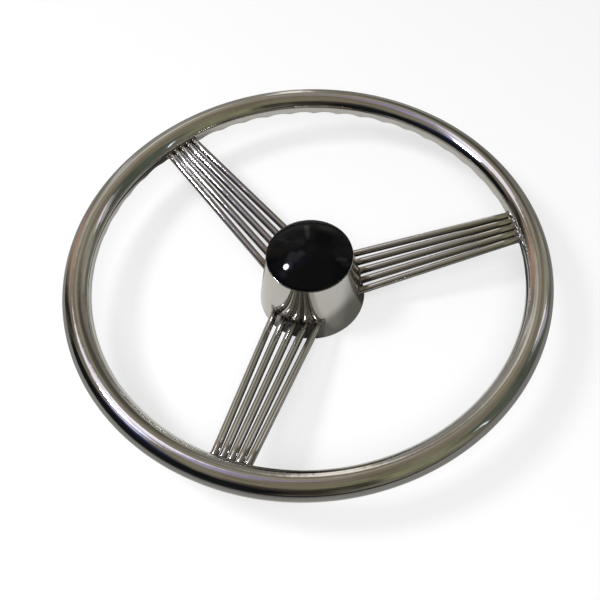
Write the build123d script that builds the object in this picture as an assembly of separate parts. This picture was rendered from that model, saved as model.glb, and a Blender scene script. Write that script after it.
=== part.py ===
from build123d import *
from build123d.topology import SkipClean
import math
import os

# Stainless marine steering wheel: a tubular rim with finger grips, three spokes of five round
# rods each, a conical hub with a tapered shaft socket, a shaft nut and a snap-in centre cap.
# Units are millimetres. The origin is the centre of the hub's back face, +Z points at the helmsman.

# Rim: a bent round tube
RIM_OVERALL = 394.0
TUBE_RADIUS = 11.0
TUBE_WALL = 1.6
RIM_HEIGHT = 44.5
RIM_RADIUS = RIM_OVERALL / 2 - TUBE_RADIUS

# Finger grips: shallow hollows pressed into the inner back side of the rim, evenly pitched
GRIPS_AROUND = 51
GRIP_BALL_RADIUS = 25.0
GRIP_DEPTH = 1.7
GRIP_TILT = 45.0

# Spokes: round rods that fan out from the rim to the hub and rise towards the rim
SPOKE_ANGLES = (-90.0, 30.0, 150.0)
RODS_PER_SPOKE = 5
ROD_RADIUS = 3.0
ROD_HUB_STATION = 45.0
ROD_HUB_HEIGHT = 21.9
ROD_HUB_PITCH = 9.25
ROD_RIM_STATION = 176.0
ROD_RIM_HEIGHT = 44.1
ROD_RIM_PITCH = 6.4
ROD_END_IN_RIM = 179.0
ROD_END_IN_HUB = 3.0

# Weld beads round the rod ends; each starts a little below the surface it joins
BEAD_FOOT_RADIUS = 4.2
BEAD_TIP_RADIUS = 3.25
BEAD_REACH = 2.4
RIM_BEAD_ROOT = 1.2
HUB_BEAD_ROOT = 1.0
WELD_RUN_TURN = 30.0

# Hub: a conical shell closed by a back plate, with the shaft boss held between two discs
CONE_BASE_RADIUS = 44.7
CONE_TOP_RADIUS = 35.2
CONE_HEIGHT = 57.0
CONE_WALL = 1.5
BACK_PLATE_THICKNESS = 3.0
WEB_BOTTOM = 33.0
WEB_THICKNESS = 3.0
BOSS_RADIUS = 19.0
BOSS_HEIGHT = 38.0

# Shaft socket: a taper of one in twelve on the diameter, a plain bore above it and a keyway
SOCKET_MOUTH_RADIUS = 9.525
SOCKET_TAPER = 12.0
THREAD_BORE_RADIUS = 8.2
KEYWAY_WIDTH = 4.76
KEYWAY_REACH = 11.3

# Shaft nut, 5/8 in unified fine, and its washer
WASHER_RADIUS = 15.0
WASHER_BORE_RADIUS = 8.6
WASHER_THICKNESS = 2.0
NUT_ACROSS_FLATS = 23.8
NUT_HEIGHT = 9.5
NUT_BORE_RADIUS = 7.3
NUT_CHAMFER_RADIUS = 11.7
NUT_CHAMFER_ANGLE = 30.0

# Centre cap: a domed lid with a spigot that pushes into a seat ring, sealed by an O-ring
CAP_RADIUS = 34.9
CAP_LIP = 1.8
CAP_RISE = 11.5
CAP_WALL = 2.4
CAP_LIP_ROUNDING = 0.7
SPIGOT_RADIUS = 29.6
SPIGOT_BOTTOM = 49.0
SEAT_BORE_RADIUS = 30.5
SEAT_BOTTOM = 49.5
RING_HEIGHT = 53.0
RING_CORE_RADIUS = 29.1
RING_SECTION_RADIUS = 1.1
GROOVE_HALF_HEIGHT = 1.3
GROOVE_RADIUS = 28.0


def cone_radius(z):
    """Outer radius of the hub cone at height z."""
    return CONE_BASE_RADIUS - (CONE_BASE_RADIUS - CONE_TOP_RADIUS) * z / CONE_HEIGHT


def turned(points):
    """A turned solid from the (radius, height) corners of its half section."""
    outline = Polyline(*[(r, 0, z) for r, z in points], close=True)
    return revolve(make_face(outline), Axis.Z)


def ball(radius, x, y, z):
    return Pos(x, y, z) * Sphere(radius)


def rod_centre(index, station):
    """Centre of a spoke's rod at a distance along the spoke, with the spoke along +X."""
    t = (station - ROD_HUB_STATION) / (ROD_RIM_STATION - ROD_HUB_STATION)
    pitch = ROD_HUB_PITCH + (ROD_RIM_PITCH - ROD_HUB_PITCH) * t
    height = ROD_HUB_HEIGHT + (ROD_RIM_HEIGHT - ROD_HUB_HEIGHT) * t
    return Vector(station, (index - (RODS_PER_SPOKE - 1) / 2) * pitch, height)


def rod_hub_end(index):
    """Station where a rod stops, just inside the hub's wall."""
    side = rod_centre(index, ROD_HUB_STATION).Y
    inside = cone_radius(ROD_HUB_HEIGHT) - CONE_WALL - ROD_END_IN_HUB
    return math.sqrt(inside**2 - side**2)


def rod(index):
    start = rod_centre(index, rod_hub_end(index))
    end = rod_centre(index, ROD_END_IN_RIM)
    along = Plane(origin=start, z_dir=end - start)
    return Solid.make_cylinder(ROD_RADIUS, (end - start).length, along)


def bead(index, foot_station, tip_station):
    """A tapered collar round a rod, wide at its foot and narrow at its tip."""
    foot = rod_centre(index, foot_station)
    tip = rod_centre(index, tip_station)
    along = Plane(origin=foot, z_dir=tip - foot)
    return Solid.make_cone(BEAD_FOOT_RADIUS, BEAD_TIP_RADIUS, (tip - foot).length, along)


def rim_welds(rods):
    """The run of weld across one spoke's five rods where they enter the rim."""
    wall = RIM_RADIUS - TUBE_RADIUS
    run = None
    for index in range(RODS_PER_SPOKE):
        side = rod_centre(index, wall).Y
        surface = math.sqrt(wall**2 - side**2)
        collar = bead(index, surface + RIM_BEAD_ROOT, surface - BEAD_REACH)
        run = collar if run is None else run.fuse(collar)
    return run.cut(tube_stretch(TUBE_RADIUS, WELD_RUN_TURN), *rods)


def hub_welds(rods):
    """The five weld beads where one spoke's rods enter the hub cone."""
    solid_hub = turned([(0, 0), (CONE_BASE_RADIUS, 0), (CONE_TOP_RADIUS, CONE_HEIGHT), (0, CONE_HEIGHT)])
    beads = []
    for index in range(RODS_PER_SPOKE):
        side = abs(rod_centre(index, ROD_HUB_STATION).Y)
        outside = math.sqrt(cone_radius(ROD_HUB_HEIGHT) ** 2 - (side - ROD_RADIUS) ** 2)
        foot = rod_hub_end(index) + HUB_BEAD_ROOT
        collar = bead(index, foot, outside + BEAD_REACH)
        beads += collar.cut(solid_hub, rods[index]).solids()
    return Compound(beads)


def tube_stretch(radius, turn):
    """A stretch of solid tube on the rim's centre line, centred on +X and turned about Z."""
    section = Plane.XZ * Pos(RIM_RADIUS, RIM_HEIGHT) * Circle(radius)
    return revolve(section, Axis.Z, turn).rotate(Axis.Z, -turn / 2)


def grip_ball(radius):
    """The ball that presses one finger grip into the inner back side of the tube at +X."""
    reach = TUBE_RADIUS + GRIP_BALL_RADIUS - GRIP_DEPTH
    centre = RIM_RADIUS - reach * math.cos(math.radians(GRIP_TILT))
    height = RIM_HEIGHT - reach * math.sin(math.radians(GRIP_TILT))
    return ball(radius, centre, 0, height)


def rim_tube(rods):
    """The hollow rim: for each spoke a plain drilled stretch, then the grips up to the next spoke."""
    pitch = 360.0 / GRIPS_AROUND
    bore = TUBE_RADIUS - TUBE_WALL
    plain = tube_stretch(TUBE_RADIUS, 2 * pitch) - tube_stretch(bore, 2 * pitch)
    outside = tube_stretch(TUBE_RADIUS, pitch) - grip_ball(GRIP_BALL_RADIUS)
    hollow = tube_stretch(bore, pitch) - grip_ball(GRIP_BALL_RADIUS + TUBE_WALL)
    grip = outside - hollow
    grips_between_spokes = GRIPS_AROUND // len(SPOKE_ANGLES) - 2
    grips = [grip.rotate(Axis.Z, (step + 1.5) * pitch) for step in range(grips_between_spokes)]
    with SkipClean():
        sector = plain.cut(*rods).fuse(*grips)
        sectors = [sector.rotate(Axis.Z, angle) for angle in SPOKE_ANGLES]
        return sectors[0].fuse(*sectors[1:])


def hub_cone(all_rods):
    shell = turned(
        [
            (CONE_BASE_RADIUS, 0),
            (CONE_TOP_RADIUS, CONE_HEIGHT),
            (CONE_TOP_RADIUS - CONE_WALL, CONE_HEIGHT),
            (CONE_BASE_RADIUS - CONE_WALL, 0),
        ]
    )
    return shell.cut(*all_rods)


def disc_in_cone(bottom, top, bore):
    """A disc whose edge follows the inside of the hub cone."""
    return turned(
        [
            (bore, bottom),
            (cone_radius(bottom) - CONE_WALL, bottom),
            (cone_radius(top) - CONE_WALL, top),
            (bore, top),
        ]
    )


def hub_boss():
    """The turned boss with the tapered socket, the thread bore and the keyway."""
    socket_depth = (SOCKET_MOUTH_RADIUS - THREAD_BORE_RADIUS) * 2 * SOCKET_TAPER
    body = turned(
        [
            (SOCKET_MOUTH_RADIUS, 0),
            (BOSS_RADIUS, 0),
            (BOSS_RADIUS, BOSS_HEIGHT),
            (THREAD_BORE_RADIUS, BOSS_HEIGHT),
            (THREAD_BORE_RADIUS, socket_depth),
        ]
    )
    keyway = Pos(0, KEYWAY_REACH / 2, BOSS_HEIGHT / 2) * Box(KEYWAY_WIDTH, KEYWAY_REACH, BOSS_HEIGHT)
    return body - keyway


def shaft_washer():
    blank = Cylinder(WASHER_RADIUS, WASHER_THICKNESS) - Cylinder(WASHER_BORE_RADIUS, WASHER_THICKNESS)
    return Pos(0, 0, BOSS_HEIGHT + WASHER_THICKNESS / 2) * blank


def shaft_nut():
    """A hexagon nut with its corners turned down at both ends."""
    bottom = BOSS_HEIGHT + WASHER_THICKNESS
    top = bottom + NUT_HEIGHT
    corner = NUT_ACROSS_FLATS / math.sqrt(3)
    drop = (corner - NUT_CHAMFER_RADIUS) * math.tan(math.radians(NUT_CHAMFER_ANGLE))
    hexagon = RegularPolygon(NUT_ACROSS_FLATS / 2, 6, major_radius=False)
    blank = Pos(0, 0, bottom) * extrude(hexagon, NUT_HEIGHT)
    envelope = turned(
        [
            (NUT_BORE_RADIUS, bottom),
            (NUT_CHAMFER_RADIUS, bottom),
            (corner, bottom + drop),
            (corner, top - drop),
            (NUT_CHAMFER_RADIUS, top),
            (NUT_BORE_RADIUS, top),
        ]
    )
    return blank & envelope


def hub_cap():
    """The domed cap: a lens-shaped lid on a hollow spigot with an O-ring groove."""
    lip_top = CONE_HEIGHT + CAP_LIP
    dome_radius = (CAP_RADIUS**2 + CAP_RISE**2) / (2 * CAP_RISE)
    dome_centre = lip_top + CAP_RISE - dome_radius
    height = lip_top + CAP_RISE - SPIGOT_BOTTOM
    lid = Pos(0, 0, CONE_HEIGHT + height / 2) * Cylinder(CAP_RADIUS, height)
    lid = lid & ball(dome_radius, 0, 0, dome_centre)
    lid = fillet(lid.edges().filter_by(GeomType.CIRCLE), CAP_LIP_ROUNDING)
    spigot_height = CONE_HEIGHT + CAP_LIP / 2 - SPIGOT_BOTTOM
    spigot = Pos(0, 0, SPIGOT_BOTTOM + spigot_height / 2) * Cylinder(SPIGOT_RADIUS, spigot_height)
    hollow = Pos(0, 0, SPIGOT_BOTTOM + height / 2) * Cylinder(SPIGOT_RADIUS - CAP_WALL, height)
    hollow = hollow & ball(dome_radius - CAP_WALL, 0, 0, dome_centre)
    groove = turned(
        [
            (GROOVE_RADIUS, RING_HEIGHT - GROOVE_HALF_HEIGHT),
            (SEAT_BORE_RADIUS, RING_HEIGHT - GROOVE_HALF_HEIGHT),
            (SEAT_BORE_RADIUS, RING_HEIGHT + GROOVE_HALF_HEIGHT),
            (GROOVE_RADIUS, RING_HEIGHT + GROOVE_HALF_HEIGHT),
        ]
    )
    return lid + spigot - hollow - groove


def cap_o_ring():
    return Pos(0, 0, RING_HEIGHT) * Torus(RING_CORE_RADIUS, RING_SECTION_RADIUS)


def main():
    nodes = {}
    all_rods = []
    plain_rods = [rod(index) for index in range(RODS_PER_SPOKE)]
    plain_rim_welds = rim_welds(plain_rods)
    plain_hub_welds = hub_welds(plain_rods)
    for number, angle in enumerate(SPOKE_ANGLES, start=1):
        for index, plain in enumerate(plain_rods, start=1):
            placed = plain.rotate(Axis.Z, angle)
            all_rods.append(placed)
            nodes[f"spoke_{number}_rod_{index}"] = placed
        nodes[f"spoke_{number}_rim_weld"] = plain_rim_welds.rotate(Axis.Z, angle)
        nodes[f"spoke_{number}_hub_welds"] = plain_hub_welds.rotate(Axis.Z, angle)
    nodes["rim_tube"] = rim_tube(plain_rods)
    nodes["hub_cone"] = hub_cone(all_rods)
    nodes["hub_back_plate"] = disc_in_cone(0, BACK_PLATE_THICKNESS, BOSS_RADIUS)
    nodes["hub_web"] = disc_in_cone(WEB_BOTTOM, WEB_BOTTOM + WEB_THICKNESS, BOSS_RADIUS)
    nodes["cap_seat_ring"] = disc_in_cone(SEAT_BOTTOM, CONE_HEIGHT, SEAT_BORE_RADIUS)
    nodes["hub_boss"] = hub_boss()
    nodes["shaft_washer"] = shaft_washer()
    nodes["shaft_nut"] = shaft_nut()
    nodes["hub_cap"] = hub_cap()
    nodes["cap_o_ring"] = cap_o_ring()

    os.makedirs("parts", exist_ok=True)
    for name, shape in nodes.items():
        export_step(shape, f"parts/{name}.step")


main()
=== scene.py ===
import math

import bpy
import numpy as np
from mathutils import Matrix, Vector, noise

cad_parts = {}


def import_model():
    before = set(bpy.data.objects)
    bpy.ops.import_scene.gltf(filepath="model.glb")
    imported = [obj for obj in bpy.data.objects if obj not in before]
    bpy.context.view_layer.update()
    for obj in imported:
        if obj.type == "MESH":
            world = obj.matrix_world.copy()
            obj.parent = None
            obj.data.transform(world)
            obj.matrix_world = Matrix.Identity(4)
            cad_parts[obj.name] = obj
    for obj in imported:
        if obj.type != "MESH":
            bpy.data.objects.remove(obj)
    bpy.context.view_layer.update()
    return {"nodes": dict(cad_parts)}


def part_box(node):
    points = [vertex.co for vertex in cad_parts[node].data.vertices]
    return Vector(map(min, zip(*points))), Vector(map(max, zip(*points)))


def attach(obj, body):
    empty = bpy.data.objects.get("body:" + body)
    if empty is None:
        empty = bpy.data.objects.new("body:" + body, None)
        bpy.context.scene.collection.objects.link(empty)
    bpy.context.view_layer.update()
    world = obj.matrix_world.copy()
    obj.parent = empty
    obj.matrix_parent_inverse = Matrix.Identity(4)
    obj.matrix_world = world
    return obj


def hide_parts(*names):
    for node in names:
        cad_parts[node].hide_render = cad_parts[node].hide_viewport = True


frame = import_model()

# A polished stainless marine steering wheel lying on its hub's back face. Lengths are in metres.
# Every place and size comes from the CAD nodes, except the named details that the CAD leaves plain.

MM = 0.001
UP = Vector((0, 0, 1))

# ---------------------------------------------------------------- places read from the frame

SAME_LEVEL = 0.02 * MM


def points_of(node):
    """A CAD node's separate vertices, as rows of x, y, z."""
    mesh = frame["nodes"][node].data
    flat = np.empty(len(mesh.vertices) * 3)
    mesh.vertices.foreach_get("co", flat)
    return np.unique(flat.reshape(-1, 3).round(6), axis=0)


def ring_radii(node, height):
    """Smallest and largest distance from the shaft axis of a node's vertices at one height."""
    points = points_of(node)
    level = points[np.abs(points[:, 2] - height) < SAME_LEVEL]
    radii = np.hypot(level[:, 0], level[:, 1])
    return float(radii.min()), float(radii.max())


def rod_line(node):
    """The two end centres of a round rod, the hub end first, and its radius."""
    points = points_of(node)
    middle = points.mean(0)
    axis = np.linalg.svd(points - middle, full_matrices=False)[2][0]
    along = (points - middle) @ axis
    one_end, other_end = points[along < 0], points[along > 0]
    radius = float(np.linalg.norm(one_end - one_end.mean(0), axis=1).mean())
    centres = [one_end.mean(0), other_end.mean(0)]
    centres.sort(key=lambda centre: math.hypot(centre[0], centre[1]))
    return Vector(centres[0]), Vector(centres[1]), radius


RIM_LOW, RIM_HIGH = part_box("rim_tube")
TUBE_RADIUS = (RIM_HIGH.z - RIM_LOW.z) / 2
RIM_HEIGHT = (RIM_HIGH.z + RIM_LOW.z) / 2
RIM_RADIUS = (RIM_HIGH.x - RIM_LOW.x) / 2 - TUBE_RADIUS

SPOKES = (1, 2, 3)
RODS = (1, 2, 3, 4, 5)
MIDDLE_ROD = 3
ROD_LINES = {(s, r): rod_line(f"spoke_{s}_rod_{r}") for s in SPOKES for r in RODS}
SPOKE_ENDS = [ROD_LINES[(spoke, MIDDLE_ROD)][1] for spoke in SPOKES]
FIRST_SPOKE_ANGLE = math.atan2(SPOKE_ENDS[0].y, SPOKE_ENDS[0].x)

CONE_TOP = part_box("hub_cone")[1].z
CONE_BASE_INNER, CONE_BASE_OUTER = ring_radii("hub_cone", 0.0)
CONE_TOP_INNER, CONE_TOP_OUTER = ring_radii("hub_cone", CONE_TOP)
CONE_SLOPE = (CONE_BASE_OUTER - CONE_TOP_OUTER) / CONE_TOP

# ---------------------------------------------------------------- shader node helpers


def feed(tree, node, **inputs):
    """Links or sets inputs, named by their socket with _ for a space, or by i0, i1 and so on."""
    for name, value in inputs.items():
        by_number = name[0] == "i" and name[1:].isdigit()
        socket = node.inputs[int(name[1:])] if by_number else node.inputs[name.replace("_", " ")]
        if isinstance(value, bpy.types.NodeSocket):
            tree.links.new(value, socket)
        elif socket.type == "RGBA":
            socket.default_value = (*value, 1.0)
        else:
            socket.default_value = value
    return node


def add(tree, kind, settings=None, **inputs):
    """Adds a shader node with its settings and inputs."""
    node = tree.nodes.new("ShaderNode" + kind)
    for name, value in (settings or {}).items():
        setattr(node, name, value)
    return feed(tree, node, **inputs)


def calc(tree, operation, a, b=0.0, c=0.0):
    return add(tree, "Math", {"operation": operation}, i0=a, i1=b, i2=c).outputs[0]


def times(tree, a, b):
    return calc(tree, "MULTIPLY", a, b)


def away_from(tree, value, middle):
    """How far a value is from a middle one."""
    return calc(tree, "ABSOLUTE", calc(tree, "SUBTRACT", value, middle))


def smooth(tree, value, low, high, out_low=0.0, out_high=1.0):
    """A smooth step of value from low to high."""
    limits = {"From_Min": low, "From_Max": high, "To_Min": out_low, "To_Max": out_high}
    step = add(tree, "MapRange", {"interpolation_type": "SMOOTHSTEP"}, Value=value, **limits)
    return step.outputs["Result"]


def mix(tree, factor, a, b):
    """A colour mix of a to b."""
    return add(tree, "Mix", {"data_type": "RGBA"}, i0=factor, i6=a, i7=b).outputs[2]


def vector_calc(tree, operation, a, b):
    """A number worked out from two vectors."""
    return add(tree, "VectorMath", {"operation": operation}, i0=a, i1=b).outputs["Value"]


def split(tree, vector):
    """The x, y and z of a vector, as sockets."""
    return add(tree, "SeparateXYZ", Vector=vector).outputs


def noise_of(tree, vector, scale, detail=2.0, rough=0.5):
    grain = add(tree, "TexNoise", Vector=vector, Scale=scale, Detail=detail, Roughness=rough)
    return grain.outputs["Fac"]


def grey(value):
    return (value, value, value)


def new_material(name):
    """An empty node material, its tree, its shader and the object coordinates."""
    material = bpy.data.materials.new(name)
    material.use_nodes = True
    tree = material.node_tree
    tree.nodes.clear()
    shader = add(tree, "BsdfPrincipled")
    add(tree, "OutputMaterial", Surface=shader.outputs["BSDF"])
    place = add(tree, "TexCoord").outputs["Object"]
    return material, tree, shader, place


def set_bump(tree, shader, height, distance, strength=1.0):
    bump = add(tree, "Bump", Strength=strength, Distance=distance, Height=height)
    feed(tree, shader, Normal=bump.outputs["Normal"])


# ---------------------------------------------------------------- materials

STEEL = (0.62, 0.615, 0.60)
WARM_STAIN = (0.93, 0.91, 0.86)
STRAW_HEAT = (0.52, 0.42, 0.27)
VIOLET_HEAT = (0.30, 0.27, 0.42)
# Painted shade for the sides that a spoke's rods turn to each other
ROD_SIDE_SHADE = (0.13, 0.125, 0.11)
# Painted shade for the hub below the spokes and along the line where the rods meet it
UNDER_SPOKE_SHADE = (0.20, 0.195, 0.18)
JOINT_SHADE_BLACK = (0.06, 0.055, 0.05)
BEAD_BRIGHT = (0.34, 0.32, 0.29)
BEAD_DARK = (0.12, 0.11, 0.10)
BEAD_VIOLET = (0.24, 0.22, 0.34)
PLASTIC_DARK = (0.0015, 0.0015, 0.0022)
PLASTIC_LIGHT = (0.003, 0.003, 0.004)

# Distances from the shaft axis of the welds on the hub and on the rim, with the reach of their heat
HUB_WELD_HEAT = (45.0 * MM, 5.0 * MM)
RIM_WELD_HEAT = (RIM_RADIUS - TUBE_RADIUS, 4.5 * MM)
# The black band of painted shade where the rods meet the hub: its middle, the distances above and below
# it where the black has gone and where it is full, the heights between which painted shade sets in on the
# hub below it under the spokes, and how ragged both are
HUB_WELD_HEIGHT = 22.0 * MM
JOINT_SHADE_EDGE = (4.6 * MM, 2.6 * MM)
UNDER_SPOKE_SHADE_EDGE = (25.0 * MM, 20.0 * MM)
WELD_RAGGEDNESS = 2.0 * MM
WELD_BAND_HALF_WIDTH = 23.0 * MM
WELD_BAND_SOFT = 1.5 * MM
HEAT_RAGGEDNESS = 2.5 * MM
# Distances from the shaft axis over which a strip along a spoke fades in, and out again
SPOKE_STRIP_BEGINS = (20.0 * MM, 32.0 * MM)
SPOKE_STRIP_ENDS = (RIM_RADIUS + 20.0 * MM, RIM_RADIUS)
TURNING_PITCH = 0.35 * MM


def shaft_distance(tree, place):
    """Distance from the shaft axis."""
    parts = split(tree, place)
    square_x = times(tree, parts["X"], parts["X"])
    square = calc(tree, "MULTIPLY_ADD", parts["Y"], parts["Y"], square_x)
    return calc(tree, "SQRT", square)


def spoke_strips(tree, place, half_width, soft):
    """1 on three strips along the spokes, from under the hub to the rim, and 0 elsewhere."""
    strips = 0.0
    for end in SPOKE_ENDS:
        outward = Vector((end.x, end.y, 0)).normalized()
        sideways = Vector((-outward.y, outward.x, 0))
        out = vector_calc(tree, "DOT_PRODUCT", place, outward)
        side = calc(tree, "ABSOLUTE", vector_calc(tree, "DOT_PRODUCT", place, sideways))
        inside = smooth(tree, side, half_width + soft, half_width - soft)
        begun = smooth(tree, out, *SPOKE_STRIP_BEGINS)
        ended = smooth(tree, out, *SPOKE_STRIP_ENDS)
        strip = times(tree, times(tree, inside, begun), ended)
        strips = calc(tree, "MAXIMUM", strips, strip)
    return strips


def hub_joint_shade(tree, place, colour):
    """The hub's colour with painted shade: a black band where the rods meet it, and darker steel below it
    under the spokes.
    """
    height = split(tree, place)["Z"]
    flecks = noise_of(tree, place, scale=300.0, detail=3.0)
    ragged = calc(tree, "MULTIPLY_ADD", flecks, WELD_RAGGEDNESS, height)
    strip = spoke_strips(tree, place, WELD_BAND_HALF_WIDTH, WELD_BAND_SOFT)
    from_weld = away_from(tree, ragged, HUB_WELD_HEIGHT)
    band = times(tree, smooth(tree, from_weld, *JOINT_SHADE_EDGE), strip)
    below = times(tree, smooth(tree, ragged, *UNDER_SPOKE_SHADE_EDGE), strip)
    colour = mix(tree, times(tree, below, 0.6), colour, UNDER_SPOKE_SHADE)
    return mix(tree, times(tree, band, 0.85), colour, JOINT_SHADE_BLACK)


def rod_side_shade_mask(tree, place):
    """1 on the sides of a spoke's rods that face each other, where painted shade darkens them."""
    parts = split(tree, place)
    across = add(tree, "CombineXYZ", X=times(tree, parts["Y"], -1.0), Y=parts["X"], Z=0.0).outputs[0]
    across = add(tree, "VectorMath", {"operation": "NORMALIZE"}, i0=across).outputs[0]
    normal = add(tree, "NewGeometry").outputs["Normal"]
    facing = vector_calc(tree, "DOT_PRODUCT", normal, across)
    return smooth(tree, calc(tree, "ABSOLUTE", facing), 0.72, 0.97)


def heat_tint(tree, place, colour, centre, reach):
    """Straw and violet oxide colours round a weld, by distance from the shaft axis."""
    away = away_from(tree, shaft_distance(tree, place), centre)
    ragged = calc(tree, "MULTIPLY_ADD", noise_of(tree, place, scale=260.0), HEAT_RAGGEDNESS, away)
    straw = smooth(tree, ragged, reach, reach * 0.45)
    violet = smooth(tree, ragged, reach * 0.6, reach * 0.25)
    colour = mix(tree, times(tree, straw, 0.45), colour, STRAW_HEAT)
    return mix(tree, times(tree, violet, 0.4), colour, VIOLET_HEAT)


def polished_steel(name, waviness, polish=0.035, rods=False, welded_hub=False):
    """Mirror-polished stainless: faint polishing waves, hairline scratches and handling smudges.

    polish is the roughness left by the buffing wheel. rods adds the welds' heat colours and painted shade
    on the sides that the rods turn to each other. welded_hub adds painted shade: a black band where the
    rods meet the hub, and darker steel below it under the spokes.
    """
    material, tree, shader, place = new_material(name)
    stains = noise_of(tree, place, scale=28.0, detail=4.0, rough=0.6)
    warm = tuple(channel * stain for channel, stain in zip(STEEL, WARM_STAIN))
    colour = mix(tree, smooth(tree, stains, 0.35, 0.75), STEEL, warm)
    if rods:
        for centre, reach in (HUB_WELD_HEAT, RIM_WELD_HEAT):
            colour = heat_tint(tree, place, colour, centre, reach)
        # Painted shade on the sides that the rods turn to each other
        colour = mix(tree, times(tree, rod_side_shade_mask(tree, place), 0.8), colour, ROD_SIDE_SHADE)
    # Painted shade on the hub where the rods meet it, and below it under the spokes
    if welded_hub:
        colour = hub_joint_shade(tree, place, colour)
    smears = smooth(tree, noise_of(tree, place, scale=55.0, detail=5.0, rough=0.65), 0.48, 0.72)
    stretched = add(tree, "Mapping", Vector=place, Scale=(1.0, 1.0, 9.0)).outputs["Vector"]
    hairlines = smooth(tree, noise_of(tree, stretched, scale=900.0, detail=3.0, rough=0.7), 0.55, 0.8)
    rough = calc(tree, "MULTIPLY_ADD", smears, 0.05, polish)
    rough = calc(tree, "MULTIPLY_ADD", hairlines, 0.05, rough)
    feed(tree, shader, Base_Color=colour, Roughness=rough, Metallic=1.0)
    waves = noise_of(tree, place, scale=95.0, detail=2.0, rough=0.45)
    set_bump(tree, shader, calc(tree, "MULTIPLY_ADD", hairlines, -0.02, waves), waviness)
    return material


def plain_steel(name, tone, rough, rings=True):
    """Turned or rolled stainless: fine lines round the shaft axis, or an even mill grain."""
    material, tree, shader, place = new_material(name)
    stains = noise_of(tree, place, scale=60.0, detail=4.0, rough=0.6)
    dull = tuple(0.82 * channel for channel in tone)
    colour = mix(tree, stains, tone, dull)
    if rings:
        waves_per_metre = 2 * math.pi / TURNING_PITCH
        turned = calc(tree, "SINE", times(tree, shaft_distance(tree, place), waves_per_metre))
        lines = times(tree, turned, noise_of(tree, place, scale=700.0, detail=3.0))
    else:
        lines = noise_of(tree, place, scale=1500.0, detail=4.0, rough=0.7)
    patches = noise_of(tree, place, scale=140.0, detail=3.0)
    uneven = smooth(tree, patches, 0.3, 0.7, rough * 0.75, rough * 1.3)
    feed(tree, shader, Base_Color=colour, Roughness=uneven, Metallic=1.0)
    set_bump(tree, shader, lines, 0.02 * MM, strength=0.6)
    return material


def weld_metal():
    """Weld beads: bright and dark patches, a violet heat colour and a rough skin."""
    material, tree, shader, place = new_material("weld_metal")
    patches = noise_of(tree, place, scale=320.0, detail=3.0, rough=0.6)
    colour = mix(tree, smooth(tree, patches, 0.4, 0.65), BEAD_BRIGHT, BEAD_DARK)
    colour = mix(tree, smooth(tree, patches, 0.62, 0.75), colour, BEAD_VIOLET)
    grain = noise_of(tree, place, scale=1400.0, detail=3.0, rough=0.6)
    rough = smooth(tree, grain, 0.3, 0.7, 0.24, 0.5)
    feed(tree, shader, Base_Color=colour, Roughness=rough, Metallic=1.0)
    set_bump(tree, shader, grain, 0.08 * MM, strength=0.7)
    return material


def gloss_plastic():
    """Glossy black moulding with a faint swirl, dust specks and hairline scratches."""
    material, tree, shader, place = new_material("gloss_black_plastic")
    clouds = noise_of(tree, place, scale=40.0, detail=3.0)
    colour = mix(tree, clouds, PLASTIC_DARK, PLASTIC_LIGHT)
    specks = smooth(tree, noise_of(tree, place, scale=2600.0, detail=1.0), 0.74, 0.8)
    stretched = add(tree, "Mapping", Vector=place, Rotation=(0.0, 0.0, 0.7), Scale=(1.0, 14.0, 1.0))
    scratches = noise_of(tree, stretched.outputs["Vector"], scale=520.0, detail=3.0, rough=0.7)
    hairlines = smooth(tree, scratches, 0.6, 0.8)
    rough = calc(tree, "MULTIPLY_ADD", specks, 0.2, 0.045)
    rough = calc(tree, "MULTIPLY_ADD", hairlines, 0.05, rough)
    feed(tree, shader, Base_Color=colour, Roughness=rough, IOR=1.5, Specular_IOR_Level=0.13)
    height = calc(tree, "MULTIPLY_ADD", hairlines, -0.05, clouds)
    set_bump(tree, shader, height, 0.05 * MM, strength=0.5)
    return material


def seal_rubber():
    """Matt black rubber with a fine grain."""
    material, tree, shader, place = new_material("seal_rubber")
    grain = noise_of(tree, place, scale=2200.0, detail=4.0, rough=0.7)
    colour = mix(tree, grain, grey(0.012), grey(0.03))
    feed(tree, shader, Base_Color=colour, Roughness=smooth(tree, grain, 0.2, 0.8, 0.45, 0.75))
    set_bump(tree, shader, grain, 0.03 * MM, strength=0.8)
    return material


RIM_STEEL = polished_steel("rim_polished_steel", 0.10 * MM)
ROD_STEEL = polished_steel("rod_polished_steel", 0.012 * MM, polish=0.07, rods=True)
HUB_STEEL = polished_steel("hub_polished_steel", 0.06 * MM, welded_hub=True)
TURNED_STEEL = plain_steel("turned_steel", (0.58, 0.57, 0.55), 0.28)
SHEET_STEEL = plain_steel("sheet_steel", (0.54, 0.53, 0.51), 0.36, rings=False)
FASTENER_STEEL = plain_steel("fastener_steel", (0.62, 0.61, 0.59), 0.2, rings=False)
WELD = weld_metal()
BLACK_PLASTIC = gloss_plastic()
RUBBER = seal_rubber()

# ---------------------------------------------------------------- mesh helpers

# Angles in degrees above which a mesh's edges are shaded sharp
TUBE_SHARP, ROD_SHARP, CAP_SHARP, NUT_SHARP = 60.0, 50.0, 38.0, 20.0


def ring_of(steps):
    """Equal steps of a full turn, in radians."""
    return [2 * math.pi * step / steps for step in range(steps)]


def ring_faces(row_count, columns, first=0, close_rows=True):
    """Quads between neighbouring rows of points, each row closed into a ring."""
    faces = []
    for i in range(row_count if close_rows else row_count - 1):
        here, above = first + i * columns, first + (i + 1) % row_count * columns
        for j in range(columns):
            k = (j + 1) % columns
            faces.append((here + j, here + k, above + k, above + j))
    return faces


def new_mesh(name, vertices, faces):
    mesh = bpy.data.meshes.new(name)
    mesh.from_pydata(vertices, [], faces)
    return mesh


def grid_mesh(name, rows, close_rows=True):
    """A mesh through rows of equally many points; rows that aren't closed get a face at each end."""
    columns = len(rows[0])
    vertices = [point for row in rows for point in row]
    faces = ring_faces(len(rows), columns, close_rows=close_rows)
    if not close_rows:
        faces.append(tuple(range(columns))[::-1])
        faces.append(tuple(range((len(rows) - 1) * columns, len(rows) * columns)))
    return new_mesh(name, vertices, faces)


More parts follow.
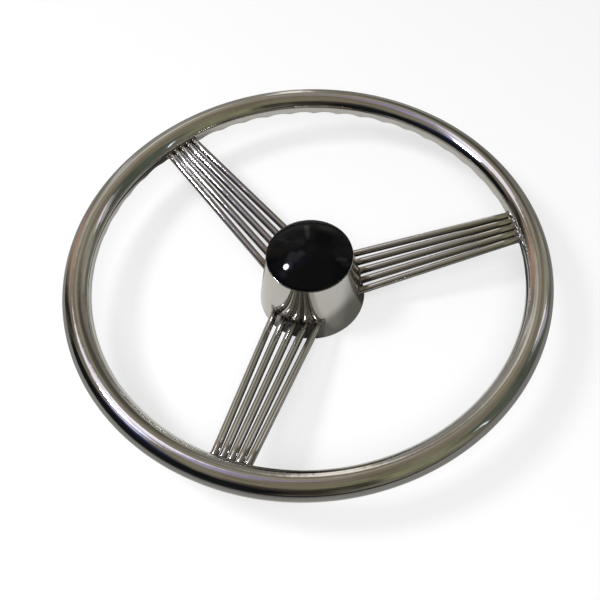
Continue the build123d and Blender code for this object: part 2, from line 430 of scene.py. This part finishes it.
def show_piece(name, mesh, material, node, body, sharp_degrees=35.0):
    """Shades a mesh smooth, but for edges sharper than an angle, in place of a CAD node."""
    mesh.validate()
    mesh.shade_smooth()
    mesh.set_sharp_from_angle(angle=math.radians(sharp_degrees))
    mesh.materials.append(material)
    piece = bpy.data.objects.new(name, mesh)
    bpy.context.scene.collection.objects.link(piece)
    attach(piece, body)
    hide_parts(node)
    return piece


def keep_faces_flat(piece):
    """Keeps flat faces flat beside their rounded edges."""
    modifier = piece.modifiers.new("flat_faces", "WEIGHTED_NORMAL")
    modifier.keep_sharp = True


def rounded_corner(before, corner, after, radius, steps=5):
    """Points of a round from one leg of a corner to the other, all as (radius, height)."""
    corner = Vector(corner)
    into = (corner - Vector(before)).normalized()
    out = (Vector(after) - corner).normalized()
    half_turn = into.angle(out) / 2
    setback = radius * math.tan(half_turn)
    start, stop = corner - into * setback, corner + out * setback
    inward = ((start + stop) / 2 - corner).normalized()
    centre = corner + inward * (radius / math.cos(half_turn))
    points = []
    for step in range(steps + 1):
        chord = start.lerp(stop, step / steps) - centre
        points.append(tuple(centre + chord.normalized() * radius))
    return points


def rounded_profile(corners):
    """A closed half section from (radius, height, rounding) corners."""
    outline = []
    for i, (r, z, rounding) in enumerate(corners):
        if rounding == 0:
            outline.append((r, z))
            continue
        before, after = corners[i - 1][:2], corners[(i + 1) % len(corners)][:2]
        outline += rounded_corner(before, (r, z), after, rounding)
    return outline


def turned_mesh(name, outline, segments):
    """A ring turned about the shaft axis from a closed half section."""
    rows = []
    for turn in ring_of(segments):
        rows.append([(r * math.cos(turn), r * math.sin(turn), z) for r, z in outline])
    return grid_mesh(name, rows)


# ---------------------------------------------------------------- rim

GRIPS_AROUND = 51
GRIP_BALL_RADIUS = 25.0 * MM
GRIP_DEPTH = 1.7 * MM
GRIP_TILT = math.radians(45.0)
GRIP_EDGE = 0.35 * MM
LARGEST_EXPONENT = 50.0
# The grips' ball stands this far from the tube's centre line
GRIP_REACH = TUBE_RADIUS + GRIP_BALL_RADIUS - GRIP_DEPTH
# Points of the tube with cos + sin below this are on its inner back side, where the grips are
INNER_BACK_LIMIT = -0.2
RIM_STEPS_PER_GRIP = 20
TUBE_STEPS = 72


def grip_press(along, offset, height):
    """How far a finger grip presses in a point of the tube.

    along is the point's distance from the grip's middle; offset and height are its radial and
    upward distances from the tube's centre line. The log and exp round the grip's edge.
    """
    away_x = offset + GRIP_REACH * math.cos(GRIP_TILT)
    away_z = height + GRIP_REACH * math.sin(GRIP_TILT)
    inside = GRIP_BALL_RADIUS - math.sqrt(along**2 + away_x**2 + away_z**2)
    return GRIP_EDGE * math.log1p(math.exp(min(inside / GRIP_EDGE, LARGEST_EXPONENT)))


def rim_mesh():
    """The bent tube, with a soft-edged grip pressed into each pitch away from the spokes."""
    pitch = 2 * math.pi / GRIPS_AROUND
    grips_per_sector = GRIPS_AROUND // len(SPOKES)
    grip_circle = RIM_RADIUS - GRIP_REACH * math.cos(GRIP_TILT)
    rows = []
    for step in range(GRIPS_AROUND * RIM_STEPS_PER_GRIP):
        place_in_sector = (step / RIM_STEPS_PER_GRIP) % grips_per_sector
        grip = math.floor(place_in_sector)
        gripped = 1 <= grip < grips_per_sector - 1
        from_grip = (place_in_sector - grip - 0.5) * pitch
        turn = FIRST_SPOKE_ANGLE + step / RIM_STEPS_PER_GRIP * pitch
        row = []
        for angle in ring_of(TUBE_STEPS):
            offset, height = TUBE_RADIUS * math.cos(angle), TUBE_RADIUS * math.sin(angle)
            inner_back = math.cos(angle) + math.sin(angle) < INNER_BACK_LIMIT
            if gripped and inner_back:
                press = grip_press(grip_circle * from_grip, offset, height)
                shrink = 1 - press / TUBE_RADIUS
                offset, height = offset * shrink, height * shrink
            radius = RIM_RADIUS + offset
            row.append((radius * math.cos(turn), radius * math.sin(turn), RIM_HEIGHT + height))
        rows.append(row)
    return grid_mesh("rim_tube_polished", rows)


show_piece("rim_tube_polished", rim_mesh(), RIM_STEEL, "rim_tube", "wheel", TUBE_SHARP)

# ---------------------------------------------------------------- rods

ROD_SIDES = 48
ROD_SPANS = 8
ROD_CHAMFER = 0.4 * MM


def square_to(axis):
    """Two unit vectors square to an axis and to each other."""
    side = axis.cross(UP).normalized()
    return side, side.cross(axis).normalized()


def rod_mesh(name, start, stop, radius):
    """A round rod with small chamfers at its sawn ends."""
    axis = (stop - start).normalized()
    side, up = square_to(axis)
    length = (stop - start).length
    stations = [(0.0, radius - ROD_CHAMFER), (ROD_CHAMFER, radius)]
    stations += [(length * span / ROD_SPANS, radius) for span in range(1, ROD_SPANS)]
    stations += [(length - ROD_CHAMFER, radius), (length, radius - ROD_CHAMFER)]
    rows = []
    for along, r in stations:
        centre = start + axis * along
        ring = [side * (r * math.cos(turn)) + up * (r * math.sin(turn)) for turn in ring_of(ROD_SIDES)]
        rows.append([tuple(centre + arm) for arm in ring])
    return grid_mesh(name, rows, close_rows=False)


for (spoke, rod), (start, stop, radius) in ROD_LINES.items():
    node = f"spoke_{spoke}_rod_{rod}"
    mesh = rod_mesh(node + "_polished", start, stop, radius)
    show_piece(node + "_polished", mesh, ROD_STEEL, node, "wheel", ROD_SHARP)

# ---------------------------------------------------------------- weld beads

BEAD_LEG = 0.95 * MM
BEAD_RIPPLE = 0.16 * MM
BEAD_RIPPLES_AROUND = 13
BEAD_UNEVENNESS = 0.35
BEAD_BULGE = 0.26
BEAD_BURIED = 0.4 * MM
BEAD_SIDES = 40
BEAD_RINGS = 9
WOBBLE_SCALE = 1.3
SKIN_SEARCH_STEPS = 40


def outside_rim(point):
    """Distance of a point from the rim tube's skin."""
    return math.hypot(math.hypot(point.x, point.y) - RIM_RADIUS, point.z - RIM_HEIGHT) - TUBE_RADIUS


def outside_cone(point):
    """Distance of a point from the hub cone's skin."""
    gap = math.hypot(point.x, point.y) - (CONE_BASE_OUTER - CONE_SLOPE * point.z)
    return gap / math.sqrt(1 + CONE_SLOPE**2)


def reach_skin(origin, direction, outside):
    """Where a line from a point meets a skin."""
    point = origin.copy()
    for _ in range(SKIN_SEARCH_STEPS):
        point += direction * outside(point)
    return point


def bead_rows(start, stop, radius, outside, seed):
    """Rings of points of one weld bead: from under the skin, over the crown, onto and into the rod."""
    inward = (stop - start).normalized()
    side, up = square_to(inward)
    rows = [[] for _ in range(BEAD_RINGS + 1)]
    for turn in ring_of(BEAD_SIDES):
        outward = side * math.cos(turn) + up * math.sin(turn)
        wobble = noise.noise(Vector((math.cos(turn) * WOBBLE_SCALE, math.sin(turn) * WOBBLE_SCALE, seed)))
        ripple = BEAD_RIPPLE * math.sin(turn * BEAD_RIPPLES_AROUND + 2 * wobble)
        leg = BEAD_LEG * (1 + BEAD_UNEVENNESS * wobble) + ripple
        foot = reach_skin(start + outward * (radius + leg), inward, outside)
        root = reach_skin(start + outward * radius, inward, outside)
        for ring in range(BEAD_RINGS):
            share = ring / (BEAD_RINGS - 1)
            angle = math.pi / 2 * share
            crown = outward * (leg * (1 - math.sin(angle))) - inward * (leg * (1 - math.cos(angle)))
            bulge = (outward - inward) * (BEAD_BULGE * leg * math.sin(math.pi * share))
            base = root.lerp(foot, 1 - share)
            lift = outward * (leg * (1 - share))
            rows[ring].append(base + crown - lift + bulge)
        rows[0][-1] = foot + inward * BEAD_BURIED
        rows[BEAD_RINGS - 1][-1] -= outward * BEAD_BURIED
        rows[BEAD_RINGS].append(root + (inward - outward) * BEAD_BURIED)
    return rows


def bead_group(name, spoke, outside, towards_rim):
    """The five beads of one end of a spoke as one mesh."""
    vertices, faces = [], []
    for rod in RODS:
        hub_end, rim_end, radius = ROD_LINES[(spoke, rod)]
        start = hub_end.lerp(rim_end, 0.75 if towards_rim else 0.25)
        stop = rim_end if towards_rim else hub_end
        rows = bead_rows(start, stop, radius, outside, seed=10.0 * spoke + rod)
        faces += ring_faces(len(rows), BEAD_SIDES, first=len(vertices))
        vertices += [tuple(point) for row in rows for point in row]
    return new_mesh(name, vertices, faces)


for spoke in SPOKES:
    rim_name, hub_name = f"spoke_{spoke}_rim_bead", f"spoke_{spoke}_hub_bead"
    rim_bead = bead_group(rim_name, spoke, outside_rim, towards_rim=True)
    show_piece(rim_name, rim_bead, WELD, f"spoke_{spoke}_rim_weld", "wheel", TUBE_SHARP)
    hub_bead = bead_group(hub_name, spoke, outside_cone, towards_rim=False)
    show_piece(hub_name, hub_bead, WELD, f"spoke_{spoke}_hub_welds", "wheel", TUBE_SHARP)

# ---------------------------------------------------------------- hub

cone_outline = rounded_profile(
    [
        (CONE_BASE_OUTER, 0.0, 0.7 * MM),
        (CONE_TOP_OUTER, CONE_TOP, 0.6 * MM),
        (CONE_TOP_INNER, CONE_TOP, 0.3 * MM),
        (CONE_BASE_INNER, 0.0, 0.0),
    ]
)
cone = turned_mesh("hub_cone_polished", cone_outline, segments=256)
keep_faces_flat(show_piece("hub_cone_polished", cone, HUB_STEEL, "hub_cone", "wheel"))

# Plain parts inside the hub are shown by their CAD nodes, with a material of their own
for node, material, slot in (
    ("hub_back_plate", SHEET_STEEL, "plain_steel"),
    ("hub_web", SHEET_STEEL, "plain_steel"),
    ("cap_seat_ring", TURNED_STEEL, "plain_steel"),
    ("hub_boss", TURNED_STEEL, "machined_steel"),
):
    shown = frame["nodes"][node]
    shown.data.materials.clear()
    shown.data.materials.append(material)

# ---------------------------------------------------------------- washer and nut

WASHER_LOW, WASHER_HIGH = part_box("shaft_washer")
WASHER_BORE, WASHER_RADIUS = ring_radii("shaft_washer", WASHER_HIGH.z)
washer_outline = rounded_profile(
    [
        (WASHER_BORE, WASHER_LOW.z, 0.15 * MM),
        (WASHER_RADIUS, WASHER_LOW.z, 0.25 * MM),
        (WASHER_RADIUS, WASHER_HIGH.z, 0.35 * MM),
        (WASHER_BORE, WASHER_HIGH.z, 0.15 * MM),
    ]
)
washer = show_piece(
    "shaft_washer_finished",
    turned_mesh("shaft_washer_finished", washer_outline, segments=128),
    FASTENER_STEEL,
    "shaft_washer",
    "washer",
)
keep_faces_flat(washer)

NUT_LOW, NUT_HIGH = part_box("shaft_nut")
NUT_HEIGHT = NUT_HIGH.z - NUT_LOW.z
NUT_BORE, NUT_FACE_RADIUS = ring_radii("shaft_nut", NUT_HIGH.z)
NUT_APOTHEM = (NUT_HIGH.y - NUT_LOW.y) / 2
NUT_CORNER = NUT_APOTHEM / math.cos(math.pi / 6)
NUT_CHAMFER_SLOPE = math.tan(math.radians(30))
NUT_SEGMENTS = 144
CHAMFER_SPANS = 5
THREAD_SPANS = 60
THREAD_PITCH = 25.4 / 18 * MM
THREAD_DEPTH = 0.55 * MM


def nut_mesh():
    """A chamfered hexagon nut with its thread cut in the bore."""
    chamfer_height = (NUT_CORNER - NUT_FACE_RADIUS) * NUT_CHAMFER_SLOPE
    outer_levels = [chamfer_height * span / CHAMFER_SPANS for span in range(CHAMFER_SPANS + 1)]
    outer_levels += [NUT_HEIGHT - level for level in reversed(outer_levels)]
    thread_levels = [NUT_HEIGHT * (1 - span / THREAD_SPANS) for span in range(THREAD_SPANS + 1)]
    rows = []
    for turn in ring_of(NUT_SEGMENTS):
        flat = NUT_APOTHEM / math.cos(turn % (math.pi / 3) - math.pi / 6)
        row = []
        for level in outer_levels:
            from_end = min(level, NUT_HEIGHT - level)
            row.append((min(flat, NUT_FACE_RADIUS + from_end / NUT_CHAMFER_SLOPE), level))
        for level in thread_levels:
            phase = (level / THREAD_PITCH - turn / (2 * math.pi)) % 1.0
            groove = THREAD_DEPTH * (1 - abs(2 * phase - 1))
            lead_in = THREAD_DEPTH - min(level, NUT_HEIGHT - level)
            row.append((NUT_BORE + max(groove, lead_in, 0.0), level))
        rows.append([(r * math.cos(turn), r * math.sin(turn), NUT_LOW.z + z) for r, z in row])
    return grid_mesh("shaft_nut_threaded", rows)


show_piece("shaft_nut_threaded", nut_mesh(), FASTENER_STEEL, "shaft_nut", "nut", NUT_SHARP)

# ---------------------------------------------------------------- cap

CAP_LOW, CAP_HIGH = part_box("hub_cap")
CAP_RADIUS = CAP_HIGH.x
SPIGOT_INNER, SPIGOT_OUTER = ring_radii("hub_cap", CAP_LOW.z)
CAP_WALL = SPIGOT_OUTER - SPIGOT_INNER
LIP_HEIGHT = 1.8 * MM
LIP_ROUNDING = 0.7 * MM
LIP_SQUASH = 0.55
LIP_TURN = math.radians(60)
LIP_STEPS = 6
LIP_TOP = CONE_TOP + LIP_HEIGHT
LOWER_LIP_ROUNDING = 0.4 * MM
# The cap is turned as a ring, so its middle keeps a hole too small to see
CENTRE_HOLE = 0.02 * MM
SPIGOT_OUTER_CHAMFER = 0.5 * MM
SPIGOT_INNER_CHAMFER = 0.3 * MM
O_RING_LOW, O_RING_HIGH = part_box("cap_o_ring")
O_RING_SECTION = (O_RING_HIGH.z - O_RING_LOW.z) / 2
O_RING_HEIGHT = (O_RING_HIGH.z + O_RING_LOW.z) / 2
O_RING_RADIUS = O_RING_HIGH.x - O_RING_SECTION
O_RING_SIDES = 24
GROOVE_LOW = O_RING_HEIGHT - 1.3 * MM
GROOVE_HIGH = O_RING_HEIGHT + 1.3 * MM
GROOVE_RADIUS = SPIGOT_OUTER - 1.6 * MM


def dome_arc(radius, centre_height, from_r, to_r, steps):
    """Points of a dome's half section between two distances from its axis."""
    spans = [from_r + (to_r - from_r) * step / steps for step in range(steps + 1)]
    return [(r, centre_height + math.sqrt(radius**2 - r**2)) for r in spans]


def cap_outline():
    """The cap's half section: dome, rounded lip, spigot with its groove, and the hollow inside."""
    rise = CAP_HIGH.z - LIP_TOP
    dome = (CAP_RADIUS**2 + rise**2) / (2 * rise)
    centre = CAP_HIGH.z - dome
    top = dome_arc(dome, centre, CENTRE_HOLE, CAP_RADIUS - 0.9 * LIP_ROUNDING, steps=56)
    lip = []
    for step in range(1, LIP_STEPS + 1):
        turn = LIP_TURN * (1 - step / LIP_STEPS)
        inset = LIP_ROUNDING * (1 - math.cos(turn))
        drop = LIP_ROUNDING * (1 - math.sin(turn)) * LIP_SQUASH
        lip.append((CAP_RADIUS - inset, LIP_TOP - drop))
    lip_side, lip_corner, seat = (CAP_RADIUS, LIP_TOP), (CAP_RADIUS, CONE_TOP), (SPIGOT_OUTER, CONE_TOP)
    low_lip = rounded_corner(lip_side, lip_corner, seat, LOWER_LIP_ROUNDING, steps=4)
    spigot = [
        (SPIGOT_OUTER, CONE_TOP),
        (SPIGOT_OUTER, GROOVE_HIGH),
        (GROOVE_RADIUS, GROOVE_HIGH),
        (GROOVE_RADIUS, GROOVE_LOW),
        (SPIGOT_OUTER, GROOVE_LOW),
        (SPIGOT_OUTER, CAP_LOW.z + SPIGOT_OUTER_CHAMFER),
        (SPIGOT_OUTER - SPIGOT_OUTER_CHAMFER, CAP_LOW.z),
        (SPIGOT_INNER + SPIGOT_INNER_CHAMFER, CAP_LOW.z),
        (SPIGOT_INNER, CAP_LOW.z + SPIGOT_INNER_CHAMFER),
    ]
    under = dome_arc(dome - CAP_WALL, centre, SPIGOT_INNER, CENTRE_HOLE, steps=24)
    return top + lip + low_lip + spigot + under


cap = turned_mesh("hub_cap_gloss", cap_outline(), segments=256)
show_piece("hub_cap_gloss", cap, BLACK_PLASTIC, "hub_cap", "cap", CAP_SHARP)

o_ring_outline = []
for turn in ring_of(O_RING_SIDES):
    r = O_RING_RADIUS + O_RING_SECTION * math.cos(turn)
    o_ring_outline.append((r, O_RING_HEIGHT + O_RING_SECTION * math.sin(turn)))
o_ring = turned_mesh("cap_o_ring_rubber", o_ring_outline, segments=160)
show_piece("cap_o_ring_rubber", o_ring, RUBBER, "cap_o_ring", "cap", TUBE_SHARP)

# ---------------------------------------------------------------- floor

FLOOR_HALF_WIDTH = 6.0
# The floor's paleness that follows the light, and the glow of its own that softens its shadows
FLOOR_SHADE = 0.38
FLOOR_LIFT = 0.61
# The duller table that the steel mirrors in the floor's place, and the dark it ends in beyond -Y
TABLE_INSIDE_RIM = (0.64, 0.63, 0.59)
TABLE_OUTSIDE_RIM = (0.28, 0.275, 0.26)
TABLE_SHADOW = (0.05, 0.05, 0.042)
BEYOND_TABLE = (0.02, 0.02, 0.022)
RIM_SHADOW_EDGE = (190.0 * MM, 230.0 * MM)
TABLE_END = (-500.0 * MM, -220.0 * MM)
# Painted shadows of the hub and the spokes on that table
HUB_SHADOW = Vector((24.0, -12.0, 0.0)) * MM
HUB_SHADOW_EDGE = (52.0 * MM, 36.0 * MM)
HUB_SHADOW_DEPTH = 0.66
SPOKE_SHADOW_HALF_WIDTH = 24.0 * MM
SPOKE_SHADOW_SOFT = 7.0 * MM
SPOKE_SHADOW_DEPTH = 0.9


def table_colour(tree, place):
    """The table's colour, with painted shadows of the hub and the spokes."""
    outside_rim_shadow = smooth(tree, shaft_distance(tree, place), *RIM_SHADOW_EDGE)
    table = mix(tree, outside_rim_shadow, TABLE_INSIDE_RIM, TABLE_OUTSIDE_RIM)
    table = mix(tree, smooth(tree, split(tree, place)["Y"], *TABLE_END), BEYOND_TABLE, table)
    hub = smooth(tree, vector_calc(tree, "DISTANCE", place, HUB_SHADOW), *HUB_SHADOW_EDGE)
    spokes = spoke_strips(tree, place, SPOKE_SHADOW_HALF_WIDTH, SPOKE_SHADOW_SOFT)
    hub, spokes = times(tree, hub, HUB_SHADOW_DEPTH), times(tree, spokes, SPOKE_SHADOW_DEPTH)
    return mix(tree, calc(tree, "MAXIMUM", hub, spokes), table, TABLE_SHADOW)


def floor():
    """A plain pale floor, which the steel mirrors as the table."""
    half = FLOOR_HALF_WIDTH
    corners = [(-half, -half, 0), (half, -half, 0), (half, half, 0), (-half, half, 0)]
    mesh = new_mesh("floor", corners, [(0, 1, 2, 3)])
    obj = bpy.data.objects.new("floor", mesh)
    bpy.context.scene.collection.objects.link(obj)
    material, tree, shader, place = new_material("pale_floor")
    seen = add(tree, "LightPath").outputs["Is Camera Ray"]
    clouds = noise_of(tree, place, scale=9.0, detail=3.0)
    pale = mix(tree, clouds, grey(FLOOR_SHADE), grey(FLOOR_SHADE * 0.97))
    colour = mix(tree, seen, table_colour(tree, place), pale)
    feed(tree, shader, Base_Color=colour, Roughness=0.9, Specular_IOR_Level=0.1)
    feed(tree, shader, Emission_Color=grey(1.0), Emission_Strength=times(tree, seen, FLOOR_LIFT))
    mesh.materials.append(material)


floor()

# ---------------------------------------------------------------- room

# Soft patches of the room that the steel mirrors, later ones over earlier ones:
# azimuth, elevation, half width, half height, softness; colour
ROOM_PATCHES = [
    # the olive wall and the shelf to the right
    ((-38, 44, 30, 26, 12), (0.27, 0.265, 0.17)),
    ((18, 28, 22, 28, 10), (0.11, 0.125, 0.10)),
    # the far wall, lighter to the left, with a copper-brown door and a dark corner
    ((78, 12, 16, 34, 10), (0.25, 0.23, 0.205)),
    ((128, 18, 18, 26, 8), (0.39, 0.37, 0.335)),
    ((129, 43, 7, 8, 4), (0.86, 0.79, 0.69)),
    ((141, 38, 7, 7, 4), (0.55, 0.53, 0.48)),
    ((97, 2, 8, 12, 6), (0.49, 0.49, 0.42)),
    ((108, 58, 10, 6, 5), (0.46, 0.42, 0.34)),
    ((90, 34, 10, 15, 5), (0.10, 0.098, 0.08)),
    ((158, 20, 6, 20, 5), (0.50, 0.33, 0.25)),
    ((175, 12, 5, 26, 5), (0.03, 0.028, 0.025)),
    # narrow windows and the wall beside them
    ((113, 22, 2.0, 18, 1.5), (1.2, 1.13, 1.07)),
    ((141, 20, 2, 12, 2), (0.70, 0.66, 0.62)),
    ((-6, 27, 1.0, 8, 1.0), (1.3, 1.45, 1.6)),
    ((54, 30, 9, 16, 5), (0.42, 0.42, 0.34)),
    ((35, 28, 3.5, 14, 3), (0.50, 0.46, 0.53)),
    ((43, 38, 2.5, 9, 2), (1.2, 1.15, 1.25)),
    # the dark side of the room, nearest to the lower spoke
    ((-84, 26, 22, 23, 10), (0.051, 0.042, 0.037)),
    ((-55, 34, 6, 15, 5), (0.06, 0.055, 0.045)),
    ((-130, 16, 46, 21, 6), (0.011, 0.012, 0.0145)),
    ((-142, 37, 12, 6, 6), (0.034, 0.042, 0.13)),
    # ceiling lights and their glow
    ((158, 70, 12, 9, 6), (0.42, 0.37, 0.56)),
    ((152, 64, 9, 5, 3), (1.75, 1.68, 1.85)),
    ((162, 55, 7, 6, 3), (1.3, 1.26, 1.4)),
    ((-172, 56, 7, 6, 4), (1.7, 1.7, 2.2)),
    ((-155, 46, 5, 5, 4), (0.9, 0.9, 1.3)),
]
CEILING = (0.26, 0.225, 0.168)
WALLS = (0.20, 0.185, 0.15)
DAYLIGHT = 0.30


def direction(azimuth, elevation):
    """A unit vector; azimuth runs from +X towards +Y."""
    a, e = math.radians(azimuth), math.radians(elevation)
    return Vector((math.cos(a) * math.cos(e), math.sin(a) * math.cos(e), math.sin(e)))


def room_patch(tree, ray, azimuth, elevation, width, height, soft):
    """1 inside a soft-edged rectangle of the room and 0 outside it; sizes are half angles in degrees."""
    middle = direction(azimuth, elevation)
    across = UP.cross(middle).normalized()
    above = middle.cross(across)
    ahead = vector_calc(tree, "DOT_PRODUCT", ray, middle)
    inside = smooth(tree, ahead, 0.0, 0.05)
    for axis, half in ((across, width), (above, height)):
        along = vector_calc(tree, "DOT_PRODUCT", ray, axis)
        angle = calc(tree, "ABSOLUTE", calc(tree, "ARCTAN2", along, ahead))
        edge = smooth(tree, angle, math.radians(half + soft), math.radians(half - soft))
        inside = times(tree, inside, edge)
    return inside


def world():
    """The room as the steel mirrors it, plain soft daylight on matt things, and white to the eye."""
    made = bpy.data.worlds.new("studio")
    made.use_nodes = True
    tree = made.node_tree
    tree.nodes.clear()
    ray = add(tree, "TexCoord").outputs["Generated"]
    room = mix(tree, smooth(tree, split(tree, ray)["Z"], 0.2, 0.9), WALLS, CEILING)
    for extent, colour in ROOM_PATCHES:
        room = mix(tree, room_patch(tree, ray, *extent), room, colour)
    clutter = smooth(tree, noise_of(tree, ray, scale=4.5, detail=5.0, rough=0.65), 0.3, 0.7, 0.72, 1.22)
    room = add(tree, "VectorMath", {"operation": "SCALE"}, i0=room, Scale=clutter).outputs[0]
    path = add(tree, "LightPath").outputs
    shown = mix(tree, path["Is Diffuse Ray"], room, grey(DAYLIGHT))
    shown = mix(tree, path["Is Camera Ray"], shown, grey(1.0))
    background = add(tree, "Background", Color=shown)
    add(tree, "OutputWorld", Surface=background.outputs["Background"])
    bpy.context.scene.world = made


world()

# ---------------------------------------------------------------- lights


def disc_light(name, azimuth, elevation, distance, size, power, colour, mirrored):
    """A round lamp aimed at the wheel's middle, which is either mirrored or lights matt things."""
    light = bpy.data.lights.new(name, "AREA")
    light.shape = "DISK"
    light.size = size
    light.energy = power
    light.color = colour
    obj = bpy.data.objects.new(name, light)
    obj.location = direction(azimuth, elevation) * distance
    obj.rotation_euler = obj.location.to_track_quat("Z", "Y").to_euler()
    obj.visible_diffuse = not mirrored
    obj.visible_glossy = mirrored
    obj.visible_camera = False
    bpy.context.scene.collection.objects.link(obj)


# Name; azimuth, elevation; distance, size; power; colour
disc_light("front_softbox", -68, 60, 1.7, 1.1, 14.0, (1.0, 1.0, 1.0), mirrored=False)
disc_light("side_softbox", -168, 53, 1.6, 0.42, 12.0, (0.99, 0.99, 1.0), mirrored=False)
disc_light("lamp_glint", -168, 53, 1.45, 0.22, 16.0, (0.88, 0.88, 1.0), mirrored=True)

# ---------------------------------------------------------------- camera

CAMERA_PLACE = Vector((0.1390, -0.3411, 0.5756))
CAMERA_TARGET = Vector((0.0506, -0.0221, 0.0445))
CAMERA_ROLL = math.radians(1.4)
CAMERA_LENS = 47.45
CAMERA_SENSOR = 36.0
CAMERA_SHIFT = (-0.1035, 0.0033)

camera = bpy.data.cameras.new("camera")
camera.lens = CAMERA_LENS
camera.sensor_width = CAMERA_SENSOR
camera.shift_x, camera.shift_y = CAMERA_SHIFT
camera_object = bpy.data.objects.new("camera", camera)
looking = (CAMERA_TARGET - CAMERA_PLACE).to_track_quat("-Z", "Y").to_matrix()
turned = looking @ Matrix.Rotation(CAMERA_ROLL, 3, "Z")
camera_object.matrix_world = Matrix.Translation(CAMERA_PLACE) @ turned.to_4x4()
bpy.context.scene.collection.objects.link(camera_object)
bpy.context.scene.camera = camera_object
bpy.context.scene.view_settings.view_transform = "Standard"
